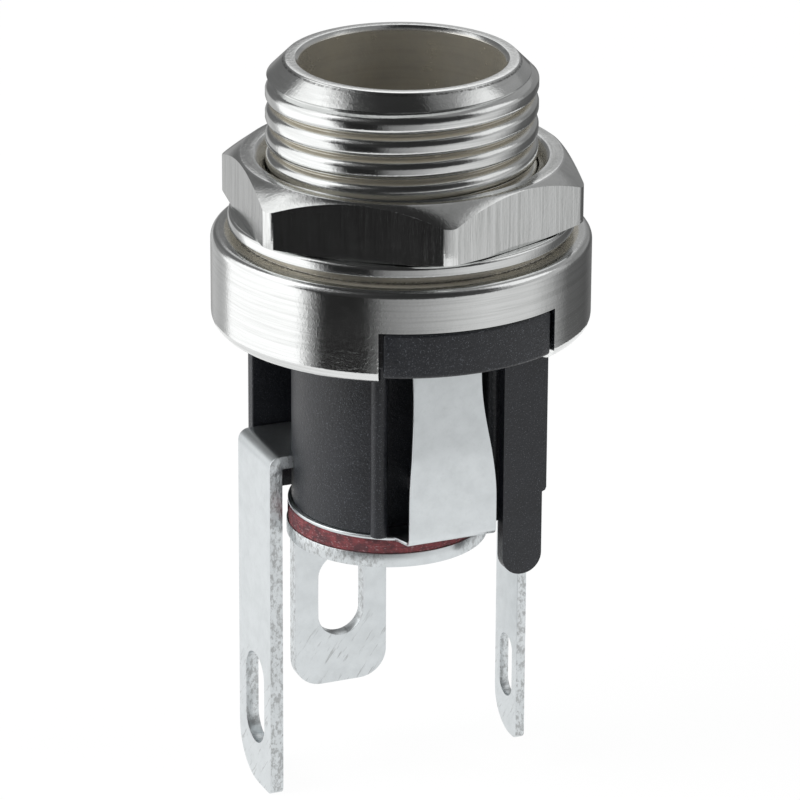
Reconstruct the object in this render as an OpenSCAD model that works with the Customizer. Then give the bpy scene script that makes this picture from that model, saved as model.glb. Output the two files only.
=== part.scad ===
// Panel-mount DC power jack with solder lugs.
// The origin is on the plug's axis, on the face of the flange that seats on the panel.
// +Z points out of the mouth, -Y to the window of the sleeve contact, -X to the long lug.

/* [Threaded bush] */
// Diameter over the thread
thread_d = 11.8; // [11.5:0.1:12]
// Height of the rim above the panel seat
bush_h = 7.4; // [7.2:0.1:9]
// Wall of the bush between the thread and the plug's bore
bush_wall = 1.45; // [1.35:0.05:1.6]
// Lead chamfer at the start of the thread
lead = 0.85; // [0.5:0.05:0.95]
// Width of the thread relief above the panel seat
relief_w = 0.4; // [0.3:0.05:0.45]
// Depth of the thread relief
relief_depth = 0.5; // [0.3:0.05:0.6]

/* [Flange and skirt] */
// How far the flange stands out past the nut's corners
flange_margin = 0.1; // [0.05:0.01:0.4]
// How far the raised panel seat stands out past the thread
seat_w = 1.25; // [1:0.05:1.4]
// Height of the seat above the rest of the flange
seat_h = 0.36; // [0.2:0.02:0.5]
// Thickness of the flange over the insulator
flange_web = 0.85; // [0.7:0.05:1]
// Height of the skirt below the flange face
skirt_h = 4.2; // [4:0.1:4.8]
// Wall of the skirt
skirt_wall = 0.65; // [0.6:0.05:0.8]
// Height of the lip closed under the insulator
lip_h = 0.5; // [0.4:0.05:0.6]
// Width of the lip closed under the insulator
lip_w = 0.2; // [0.15:0.05:0.2]
// Rounding of the flange's upper edge
flange_round = 0.36; // [0.2:0.02:0.4]
// Rounding of the skirt's lower edge
skirt_round = 0.55; // [0.3:0.05:0.6]
// Angle of the notch in the skirt
notch_angle = 59; // [50:1:64]
// Height of the notch in the skirt
notch_h = 2.35; // [2:0.05:2.6]
// How far the key that fills the notch ends above the skirt's edge
key_rise = 0.28; // [0.1:0.02:0.4]

/* [Nut and washer] */
// Wall of the nut between the thread and its flats
nut_wall = 1.2; // [1.05:0.05:1.4]
// Height of the nut
nut_h = 2.6; // [2:0.1:3.2]
// Height of the chamfers on the nut's upper corners
nut_chamfer = 0.9; // [0.3:0.05:1]
// Height of the chamfers on the nut's lower corners
nut_foot_chamfer = 0.2; // [0.1:0.05:0.5]
// How far the nut's flat faces stay inside its flats
nut_face_inset = 0.1; // [0.05:0.05:0.25]
// Depth of the countersink in each face of the nut
nut_sink = 0.45; // [0.3:0.05:0.5]
// Angle at which the tightened nut stands
nut_turn = 22; // [0:1:59]
// Width of the flat washer's ring
washer_w = 1.5; // [1.3:0.05:1.7]
// Thickness of the flat washer
washer_t = 0.5; // [0.4:0.05:0.8]

/* [Insulator] */
// Diameter of the core under the flange
core_d = 9.6; // [9.4:0.1:9.6]
// Depth of the core's end below the panel seat
core_depth = 12.9; // [12.6:0.05:13.6]
// Bore around the pin for the plug's barrel
socket_d = 6.2; // [6:0.1:6.3]
// Depth of that bore's floor below the panel seat
socket_depth = 6.8; // [6:0.1:7.4]
// Width of the window for the sleeve contact
window_w = 4.8; // [4.6:0.1:5]
// Distance from the axis to the window's back wall
window_back = 3.3; // [3.25:0.05:3.4]
// Radius of the beads along the window's edges
bead_r = 0.38; // [0.3:0.02:0.4]
// Thickness of the vane and the tongue
vane_t = 0.55; // [0.5:0.05:0.6]
// Distance from the axis to the near faces of the vane and the tongue
vane_side = 4.85; // [4.85:0.01:4.9]
// Reach of the vane along the left side
vane_reach = 5.1; // [4.9:0.05:5.1]
// Width of the vane
vane_w = 2.3; // [2:0.1:2.6]
// Depth of the vane's end below the panel seat
vane_depth = 13.8; // [13:0.1:14.5]
// Reach of the tongue along the right side
tongue_reach = 4.65; // [4.5:0.05:4.8]
// Width of the tongue at its round end
tongue_w = 1.85; // [1.7:0.05:1.85]
// Depth of the tongue's end below the panel seat
tongue_depth = 15.15; // [14.5:0.05:16]

/* [Sleeve spring and right lug] */
// Thickness of the spring sheet
spring_t = 0.17; // [0.15:0.01:0.22]
// Distance from the axis to the leaf's outer face
leaf_out = 5.55; // [5.5:0.05:5.7]
// How far the leaf leans inwards towards the flange
leaf_lean = 0.36; // [0.2:0.02:0.4]
// Width of the leaf at its foot
leaf_foot_w = 4.1; // [4:0.05:4.2]
// How far the leaf's foot stands to the right of its top
leaf_offset = 0.18; // [0:0.02:0.2]
// Width of the leaf at its top
leaf_top_w = 3.2; // [2.8:0.05:3.3]
// Distance from the axis to the leaf's contact point
leaf_contact = 2.5; // [2.4:0.05:2.6]
// Diameter of the base disc
base_d = 9.75; // [9.7:0.05:9.9]
// Distance of the base disc's centre from the pin's axis
base_shift = 0.1; // [0:0.02:0.12]
// Thickness of the right lug, which is folded double
right_lug_t = 0.44; // [0.4:0.02:0.5]
// Distance from the axis to the right lug's inner face
right_lug_in = 5.25; // [5.2:0.05:5.4]
// Width of the right lug
right_lug_w = 2.36; // [2:0.02:2.5]
// Depth of the right lug's tip below the panel seat
right_lug_depth = 25.3; // [23:0.1:27]
// Width of the right lug's slot
right_slot_w = 1.3; // [1:0.05:1.4]
// Length of the right lug's slot
right_slot_l = 3; // [2:0.1:4]

/* [Break terminal] */
// Thickness of the lug sheet
lug_t = 0.62; // [0.5:0.02:0.7]
// Distance from the axis to the left lug's inner face
left_lug_in = 5.22; // [5.2:0.01:5.3]
// Distance from the axis to the left lug's front edge
left_lug_front = 0.9; // [0.8:0.02:0.9]
// Width of the left lug
left_lug_w = 3.85; // [3.5:0.05:3.85]
// Depth of the left lug's upper side below the panel seat
left_lug_top = 10.65; // [10:0.05:10.8]
// Depth of the left lug's tip below the panel seat
left_lug_depth = 27.05; // [25:0.05:28]
// Length of the left lug's slot
left_slot_l = 4.35; // [3:0.05:5]
// Width of the slots in the two wide lugs
slot_w = 2.2; // [1.6:0.1:2.4]

/* [Centre terminal and pin] */
// Thickness of the fibre washer
fibre_t = 0.72; // [0.6:0.02:0.9]
// Diameter of the fibre washer
fibre_d = 8.8; // [8.6:0.1:9]
// Thickness of the eyelet disc and its lug
eyelet_t = 0.65; // [0.5:0.01:0.7]
// Diameter of the eyelet disc
eyelet_d = 8.9; // [8.6:0.1:9.1]
// Distance of the eyelet disc's centre from the pin's axis
eyelet_shift = 0.62; // [0:0.02:0.62]
// Width of the middle lug
mid_lug_w = 4.5; // [4:0.1:4.6]
// Length of the middle lug's slot
mid_slot_l = 4; // [3:0.1:5]
// Distance from the axis to the middle lug's front face
mid_lug_in = 5.1; // [5:0.05:5.6]
// Depth of the middle lug's tip below the panel seat
mid_lug_depth = 24; // [22:0.1:26]
// Diameter of the centre pin
pin_d = 2.1; // [2:0.05:2.5]
// Height of the pin's tip above the panel seat
pin_top = 3; // [2:0.1:3]
// Diameter of the pin's collar and rivet head
pin_collar_d = 3.4; // [3.2:0.1:3.8]

/* [Hidden] */
$fn = 96;
eps = 0.01;

running = 0.05;         // radial clearance of the nut on the thread
loose = 0.15;           // radial clearance of the washer on the thread
seated = 0.02;          // radial clearance of pieces pressed together
moulding_gap = 0.05;    // gap between the moulding and the skirt

nut_af = thread_d + 2 * nut_wall;
nut_corner_r = nut_af / 2 / cos(30);
washer_bore_r = thread_d / 2 + loose;
mouth_d = thread_d - 2 * bush_wall;
flange_d = 2 * (nut_corner_r + flange_margin);
seat_d = thread_d + 2 * seat_w;

web_z = -(seat_h + flange_web);
skirt_z = -(seat_h + skirt_h);
disc_z = skirt_z + lip_h;
cup_d = flange_d - 2 * skirt_wall;
core_z = -core_depth;
base_z = core_z - spring_t;
fibre_z = base_z - fibre_t;
eyelet_z = fibre_z - eyelet_t;
blade_z = -(left_lug_top + lug_t);
leaf_in = leaf_out - spring_t;
left_lug_out = left_lug_in + lug_t;
tongue_foot_x = tongue_reach - 0.2;     // the tongue is narrower below its shoulder
spigot_d = 4;           // nose of the core through the base disc
blade_reach = 2.2;      // nearest the break contact comes to the axis

nickel = [0.78, 0.77, 0.74];
tin = [0.78, 0.80, 0.80];
black = [0.16, 0.17, 0.19];
fibre = [0.50, 0.20, 0.20];
brass = [0.80, 0.72, 0.45];

// ---- shared forms ----

// Points on an arc of a section, from one angle to another.
function arc(cx, cz, r, from, to, steps) = [
    for (i = [0 : steps]) let (a = from + (to - from) * i / steps)
        [cx + r * cos(a), cz + r * sin(a)]
];

// A flat lug that hangs down from z = 0: width along Y, thickness along X,
// a round corner on each side of its tip and a round-ended slot.
module lug(w, l, t, front_r, back_r, sw, sl, slot_mid) {
    difference() {
        translate([t, 0, 0]) rotate([90, 0, -90]) linear_extrude(t) polygon(concat(
            [[-w / 2, 0]], arc(back_r - w / 2, back_r - l, back_r, 180, 270, 12),
            arc(w / 2 - front_r, front_r - l, front_r, 270, 360, 12), [[w / 2, 0]]));
        translate([-t, -sw / 2, -slot_mid - (sl - sw) / 2]) cube([3 * t, sw, sl - sw]);
        for (end = [-1, 1]) translate([-t, 0, -slot_mid + end * (sl - sw) / 2])
            rotate([0, 90, 0]) cylinder(d = sw, h = 3 * t);
    }
}

// A quarter bend of sheet in the XZ plane, centred on its inner axis, with its
// outside towards +X and +Z and its width along Y.
module bend(inner, t, w) {
    difference() {
        intersection() {
            rotate([90, 0, 0]) cylinder(r = inner + t, h = w, center = true);
            translate([0, -w / 2, 0]) cube([inner + t, w, inner + t]);
        }
        rotate([90, 0, 0]) cylinder(r = inner, h = w + 1, center = true);
    }
}

// A ring sector centred on -Y, from z = 0 upwards.
module sector(r_in, r_out, angle, h) {
    rotate([0, 0, -90 - angle / 2]) rotate_extrude(angle = angle)
        translate([r_in, 0]) square([r_out - r_in, h]);
}

// ---- housing ----

// Half section of the turned bush, before the notch is milled.
module housing_section() {
    r = flange_d / 2;
    polygon(concat(
        [[mouth_d / 2, web_z], [mouth_d / 2, bush_h - 0.15], [mouth_d / 2 + 0.15, bush_h],
         [thread_d / 2 - lead, bush_h], [thread_d / 2, bush_h - lead],
         [thread_d / 2, relief_w + relief_depth], [thread_d / 2 - relief_depth, relief_w],
         [thread_d / 2 - relief_depth, 0], [seat_d / 2, 0], [seat_d / 2, -seat_h]],
        arc(r - flange_round, -seat_h - flange_round, flange_round, 90, 0, 4),
        arc(r - skirt_round, skirt_z + skirt_round, skirt_round, 0, -90, 5),
        [[cup_d / 2 - lip_w, skirt_z], [cup_d / 2 - lip_w, disc_z], [cup_d / 2, disc_z],
         [cup_d / 2, web_z]]));
}

module housing() {
    color(nickel) difference() {
        rotate_extrude() housing_section();
        translate([0, 0, skirt_z - 1])
            sector(cup_d / 2 - lip_w - 1, flange_d / 2 + 1, notch_angle, notch_h + 1);
    }
}

// ---- nut and washer ----

module hex_nut() {
    face_r = nut_af / 2 - nut_face_inset;
    bore_r = thread_d / 2 + running;
    over = 0.3;     // the turned chamfers run out past the corners
    over_r = nut_corner_r + over;
    steep = (over_r - face_r) / (nut_corner_r - face_r);
    color(nickel) translate([0, 0, washer_t]) difference() {
        intersection() {
            rotate([0, 0, nut_turn]) cylinder(r = nut_corner_r, h = nut_h, $fn = 6);
            rotate_extrude() polygon([
                [0, 0], [face_r, 0], [over_r, nut_foot_chamfer * steep],
                [over_r, nut_h - nut_chamfer * steep], [face_r, nut_h], [0, nut_h]
            ]);
        }
        translate([0, 0, -1]) cylinder(r = bore_r, h = nut_h + 2);
        for (face = [0, 1]) translate([0, 0, face * nut_h]) mirror([0, 0, face])
            translate([0, 0, -eps])
                cylinder(r1 = bore_r + nut_sink + eps, r2 = bore_r, h = nut_sink + eps);
    }
}

module flat_washer() {
    edge = 0.1;
    outer_r = washer_bore_r + washer_w;
    color(nickel) rotate_extrude() polygon([
        [washer_bore_r, 0], [outer_r - edge, 0], [outer_r, edge],
        [outer_r, washer_t - edge], [outer_r - edge, washer_t], [washer_bore_r, washer_t]
    ]);
}

// ---- insulator ----

// Disc that the skirt holds, with the key that fills the notch.
module disc_and_key() {
    translate([0, 0, disc_z]) cylinder(d = cup_d - 2 * moulding_gap, h = web_z - disc_z);
    translate([0, 0, skirt_z + key_rise])
        sector(core_d / 2 - 1, flange_d / 2 - moulding_gap, notch_angle - 2.4,
               notch_h - key_rise - moulding_gap);
}

// Flat tongue at the front right, with a shoulder and a round end.
module tongue() {
    round_r = tongue_w / 2;
    foot_x = tongue_foot_x;
    shoulder_z = -11.3;
    top_z = disc_z + 0.2;
    translate([0, -vane_side, 0]) rotate([90, 0, 0]) {
        linear_extrude(vane_t) polygon([
            [foot_x - tongue_w, top_z], [tongue_reach, top_z],
            [tongue_reach, shoulder_z + 0.2], [foot_x, shoulder_z - 0.2],
            [foot_x, round_r - tongue_depth], [foot_x - tongue_w, round_r - tongue_depth]
        ]);
        translate([foot_x - round_r, round_r - tongue_depth, 0])
            cylinder(r = round_r, h = vane_t);
    }
}

// Flat vane at the back left, behind the long lug.
module vane() {
    translate([-vane_reach, vane_side, -vane_depth])
        cube([vane_w, vane_t, vane_depth + disc_z + 0.2]);
}

module insulator() {
    bead_x = window_w / 2 + bead_r - 0.08;
    bead_y = sqrt(pow(core_d / 2, 2) - pow(bead_x, 2)) + 0.1;
    leaf_slot_w = leaf_top_w + 0.5;
    color(black) difference() {
        union() {
            disc_and_key();
            translate([0, 0, core_z]) cylinder(d = core_d, h = disc_z - core_z + 1);
            translate([0, 0, base_z]) cylinder(d = spigot_d, h = spring_t + 1);
            for (side = [-1, 1]) translate([side * bead_x, -bead_y, core_z])
                cylinder(r = bead_r, h = skirt_z - core_z + 0.5);
            vane();
            tongue();
        }
        translate([0, 0, -socket_depth]) cylinder(d = socket_d, h = socket_depth);
        translate([0, 0, base_z - 1]) cylinder(d = pin_d + 2 * seated, h = core_depth);
        translate([-window_w / 2, -core_d, core_z - 1])
            cube([window_w, core_d - window_back, skirt_z - core_z + 1]);
        translate([-leaf_slot_w / 2, -leaf_out - 0.25, skirt_z - eps])
            cube([leaf_slot_w, leaf_out + 0.25 - 1, web_z - skirt_z + 1]);
        break_blade();
    }
}

// ---- sleeve spring ----

// Points on either side of a path, half a thickness away, for a bent sheet's section.
function side_point(path, i, offset) =
    let (before = path[max(i - 1, 0)], after = path[min(i + 1, len(path) - 1)],
         u = (path[i] - before) / max(norm(path[i] - before), eps),
         v = (after - path[i]) / max(norm(after - path[i]), eps),
         along = (u + v) / norm(u + v), mitre = max(norm(u + v) / 2, 0.5),
         scale = (i == 0 || i == len(path) - 1) ? 1 : 1 / mitre)
    path[i] + offset * scale * [-along[1], along[0]];

function ribbon(path, t) = concat(
    [for (i = [0 : len(path) - 1]) side_point(path, i, t / 2)],
    [for (i = [len(path) - 1 : -1 : 0]) side_point(path, i, -t / 2)]);

// Section of the leaf in the YZ plane: foot, flat, inward slope, contact point and flare.
function leaf_path() =
    let (mid = leaf_out - spring_t / 2, foot_z = base_z + spring_t / 2, foot_r = 0.3,
         contact = leaf_contact + spring_t / 2)
    concat([[-base_d / 2 + 0.6, foot_z]],
           arc(-mid + foot_r, foot_z + foot_r, foot_r, 270, 180, 4),
           [[-mid, -9], [leaf_lean - mid, skirt_z - 0.35], [-contact - 0.25, -0.95], [-contact, -0.5],
            [-contact - 0.2, 0.05], [-contact - 0.9, 1.1]]);

// How far the leaf has widened at a height: 0 above its smooth step, 1 below it.
function leaf_widening(z) =
    let (step_top = core_z + 7, step_low = core_z + 1.6,
         s = min(max((step_top - z) / (step_top - step_low), 0), 1))
    s * s * (3 - 2 * s);

// Place across the leaf of its left (-1) or right (1) edge at a height.
function leaf_edge(side, z) =
    let (grow = leaf_widening(z))
    side * (leaf_top_w / 2 + (leaf_foot_w - leaf_top_w) / 2 * grow) + leaf_offset * grow;

module leaf() {
    levels = concat([base_z - 1], [for (i = [0 : 12]) core_z + 1.6 + 0.45 * i]);
    tip = [[leaf_top_w / 2, -0.6], [leaf_top_w / 2 - 0.7, 2]];
    right = concat([for (z = levels) [leaf_edge(1, z), z]], tip);
    rise = concat([for (z = levels) [leaf_edge(-1, z), z]], [for (p = tip) [-p[0], p[1]]]);
    left = [for (i = [len(rise) - 1 : -1 : 0]) rise[i]];
    intersection() {
        rotate([90, 0, 90]) translate([0, 0, -leaf_foot_w])
            linear_extrude(2 * leaf_foot_w) polygon(ribbon(leaf_path(), spring_t));
        rotate([90, 0, 0]) linear_extrude(leaf_out + 1) polygon(concat(right, left));
    }
}

module sleeve_spring() {
    foot = leaf_foot_w / 2;
    shoulder = foot + 0.35;
    color(tin) {
        difference() {
            union() {
                translate([-base_shift, 0, base_z]) cylinder(d = base_d, h = spring_t);
                translate([0, -right_lug_w / 2, base_z])
                    cube([right_lug_in, right_lug_w, spring_t]);
                // The disc's front narrows to the leaf's foot.
                translate([0, 0, base_z]) linear_extrude(spring_t) polygon([
                    [-shoulder, -4.1], [shoulder, -4.1], [foot + leaf_offset, 0.35 - leaf_out],
                    [leaf_offset - foot, 0.35 - leaf_out]
                ]);
                leaf();
            }
            translate([0, 0, base_z - 1]) cylinder(d = spigot_d + 2 * seated, h = spring_t + 2);
        }
        translate([right_lug_in, 0, core_z]) intersection() {
            lug(right_lug_w, right_lug_depth - core_depth, right_lug_t, 0.3, right_lug_w - 0.6,
                right_slot_w, right_slot_l, right_lug_depth - core_depth - 3.25);
            // The fold at the lug's root is rounded on its outside.
            union() {
                translate([-1, -right_lug_w, -right_lug_depth])
                    cube([right_lug_t + 2, 2 * right_lug_w, right_lug_depth - right_lug_t]);
                translate([0, 0, -right_lug_t]) rotate([90, 0, 0])
                    cylinder(r = right_lug_t, h = 2 * right_lug_w, center = true);
            }
        }
    }
}

// ---- break terminal ----

// The flat blade moulded into the core, from the lug's bend round to the leaf's back.
module break_blade() {
    leg_in = 3.3;       // the wide leg ends here inside the core
    back_y = blade_reach + 1.05;
    translate([0, 0, blade_z]) {
        translate([0.6 - left_lug_out, left_lug_front, 0])
            cube([left_lug_out - 0.6 - leg_in, left_lug_w, lug_t]);
        translate([-blade_reach - 1.2, -back_y, 0]) cube([1.2, back_y + 3.9, lug_t]);
        translate([-blade_reach - 1.2, -back_y, 0])
            cube([blade_reach + 2.2, back_y - blade_reach, lug_t]);
        translate([-1, -leaf_in, 0]) cube([2, leaf_in - back_y + eps, lug_t]);
    }
}

module break_terminal() {
    bend_r = 0.6;       // outer radius; the inner corner is sharp
    root_z = blade_z - 0.2;
    out = left_lug_out;
    color(tin) {
        break_blade();
        translate([0, left_lug_front + left_lug_w, 0]) rotate([90, 0, 0])
            linear_extrude(left_lug_w) polygon(concat(
                [[-left_lug_in, root_z - eps], [-left_lug_in, blade_z],
                 [0.8 - out, blade_z], [0.8 - out, -left_lug_top]],
                arc(bend_r - out, -left_lug_top - bend_r, bend_r, 90, 180, 6),
                [[-out, root_z - eps]]));
        translate([-out, left_lug_front + left_lug_w / 2, root_z])
            lug(left_lug_w, left_lug_depth + root_z, lug_t, 0.35, 2.2, slot_w, left_slot_l,
                left_lug_depth + root_z - 4.1);
    }
}

// ---- centre terminal, fibre washer and pin ----

module fibre_washer() {
    color(fibre) translate([0, 0, fibre_z]) difference() {
        translate([-eyelet_shift, 0, 0]) cylinder(d = fibre_d, h = fibre_t);
        translate([0, 0, -1]) cylinder(d = pin_d + 2 * seated, h = fibre_t + 2);
    }
}

module centre_terminal() {
    bend_in = 0.3;
    lug_x = -eyelet_shift - 0.1;
    neck_end = mid_lug_in - bend_in;
    color(tin) {
        translate([0, 0, eyelet_z]) difference() {
            union() {
                translate([-eyelet_shift, 0, 0]) cylinder(d = eyelet_d, h = eyelet_t);
                translate([lug_x - mid_lug_w / 2, 0, 0]) cube([mid_lug_w, neck_end, eyelet_t]);
            }
            translate([0, 0, -1]) cylinder(d = pin_d + 2 * seated, h = eyelet_t + 2);
        }
        translate([lug_x, neck_end, eyelet_z - bend_in]) rotate([0, 0, 90])
            bend(bend_in, eyelet_t, mid_lug_w);
        translate([lug_x, mid_lug_in, eyelet_z - bend_in]) rotate([0, 0, 90])
            lug(mid_lug_w, mid_lug_depth + eyelet_z - bend_in, eyelet_t, 1.3, 1.3, slot_w, mid_slot_l,
                mid_lug_depth + eyelet_z - bend_in - 4.35);
    }
}

module centre_pin() {
    head_h = 0.4;
    tip = 0.35;
    collar_h = 0.7;
    r = pin_d / 2;
    collar_r = pin_collar_d / 2;
    color(brass) rotate_extrude() polygon([
        [0, eyelet_z - head_h], [collar_r - 0.3, eyelet_z - head_h],
        [collar_r, eyelet_z - head_h + 0.2], [collar_r, eyelet_z], [r, eyelet_z],
        [r, -socket_depth], [collar_r, -socket_depth], [collar_r, collar_h - socket_depth],
        [r, collar_h - socket_depth], [r, pin_top - tip], [r - tip, pin_top], [0, pin_top]
    ]);
}

housing();
hex_nut();
flat_washer();
insulator();
sleeve_spring();
break_terminal();
fibre_washer();
centre_terminal();
centre_pin();
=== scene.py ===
"""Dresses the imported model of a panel-mount DC power jack: turned nickel, tinned lugs, black moulding."""

import logging
import math
from contextlib import contextmanager
from dataclasses import dataclass
from enum import Enum
from typing import Callable, Iterator, Sequence

import bmesh
import bpy
from mathutils import Matrix, Vector


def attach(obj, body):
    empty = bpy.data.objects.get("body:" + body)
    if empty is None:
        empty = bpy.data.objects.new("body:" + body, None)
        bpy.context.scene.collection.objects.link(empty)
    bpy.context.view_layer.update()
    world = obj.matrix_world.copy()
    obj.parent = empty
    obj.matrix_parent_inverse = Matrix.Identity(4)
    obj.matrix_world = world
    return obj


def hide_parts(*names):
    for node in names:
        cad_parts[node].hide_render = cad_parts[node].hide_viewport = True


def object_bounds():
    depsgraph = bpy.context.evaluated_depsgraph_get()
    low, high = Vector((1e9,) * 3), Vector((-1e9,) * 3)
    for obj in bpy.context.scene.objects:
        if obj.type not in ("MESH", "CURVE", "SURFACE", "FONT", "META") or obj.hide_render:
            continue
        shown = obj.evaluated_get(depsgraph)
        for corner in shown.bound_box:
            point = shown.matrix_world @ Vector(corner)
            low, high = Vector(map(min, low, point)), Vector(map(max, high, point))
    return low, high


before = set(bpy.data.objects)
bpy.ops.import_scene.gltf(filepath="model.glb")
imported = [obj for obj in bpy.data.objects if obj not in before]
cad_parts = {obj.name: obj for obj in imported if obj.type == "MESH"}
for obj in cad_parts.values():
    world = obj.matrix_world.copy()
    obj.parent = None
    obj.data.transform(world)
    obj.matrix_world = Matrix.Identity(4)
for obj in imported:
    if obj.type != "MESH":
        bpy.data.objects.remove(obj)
CAD_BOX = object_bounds()

MM = 0.001
LOG = logging.getLogger("jack")

Point2 = tuple[float, float]
Point3 = tuple[float, float, float]
Colour = tuple[float, float, float]


class Body(Enum):
    """The rigid bodies that pieces ride on."""

    JACK = "jack"
    WASHER = "washer"
    NUT = "nut"


class Slot(Enum):
    """The record's material slots."""

    NICKEL = "nickel_plate"
    TIN = "tin_plate"
    PLASTIC = "black_plastic"
    FIBRE = "red_fibre"
    PIN = "pin_plate"


# ---------------------------------------------------------------- shader maths


class Socket:
    """An output socket or a plain number, with arithmetic that adds Math nodes."""

    def __init__(self, shader: "Shader", link: bpy.types.NodeSocket | float) -> None:
        """Keeps the shader that owns the nodes and the link or number itself."""
        self.shader = shader
        self.link = link

    def _math(self, operation: str, other: "Socket | float", swap: bool = False) -> "Socket":
        """Adds a Math node on this socket and another.

        Args:
            operation: the Math node's operation.
            other: the second value.
            swap: puts the second value first.

        Returns:
            The node's output.
        """
        pair = (other, self) if swap else (self, other)
        return self.shader.add("ShaderNodeMath", {"operation": operation}, {0: pair[0], 1: pair[1]})

    def __add__(self, other: "Socket | float") -> "Socket":
        """Adds."""
        return self._math("ADD", other)

    __radd__ = __add__

    def __sub__(self, other: "Socket | float") -> "Socket":
        """Subtracts."""
        return self._math("SUBTRACT", other)

    def __rsub__(self, other: "Socket | float") -> "Socket":
        """Subtracts this from a number."""
        return self._math("SUBTRACT", other, swap=True)

    def __mul__(self, other: "Socket | float") -> "Socket":
        """Multiplies."""
        return self._math("MULTIPLY", other)

    __rmul__ = __mul__

    def __truediv__(self, other: "Socket | float") -> "Socket":
        """Divides."""
        return self._math("DIVIDE", other)

    def __rtruediv__(self, other: "Socket | float") -> "Socket":
        """Divides a number by this."""
        return self._math("DIVIDE", other, swap=True)

    def above(self, limit: float, soft: float) -> "Socket":
        """Rises from 0 to 1 as the value passes a limit.

        Args:
            limit: the middle of the step.
            soft: the step's half width.

        Returns:
            The mask.
        """
        sockets = {"Value": self, "From Min": limit - soft, "From Max": limit + soft}
        settings = {"interpolation_type": "SMOOTHSTEP", "clamp": True}
        return self.shader.add("ShaderNodeMapRange", settings, sockets, output="Result")

    def below(self, limit: float, soft: float) -> "Socket":
        """Falls from 1 to 0 as the value passes a limit."""
        return 1.0 - self.above(limit, soft)

    def inside(self, low: float, high: float, soft: float) -> "Socket":
        """Is 1 between two limits and 0 outside them."""
        return self.above(low, soft) * self.below(high, soft)

    def function(self, operation: str) -> "Socket":
        """Applies a one-value Math operation, such as ABSOLUTE or SINE."""
        return self.shader.add("ShaderNodeMath", {"operation": operation}, {0: self})

    def function_pair(self, operation: str, other: "Socket | float") -> "Socket":
        """Applies a two-value Math operation, such as MINIMUM."""
        return self._math(operation, other)


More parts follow.
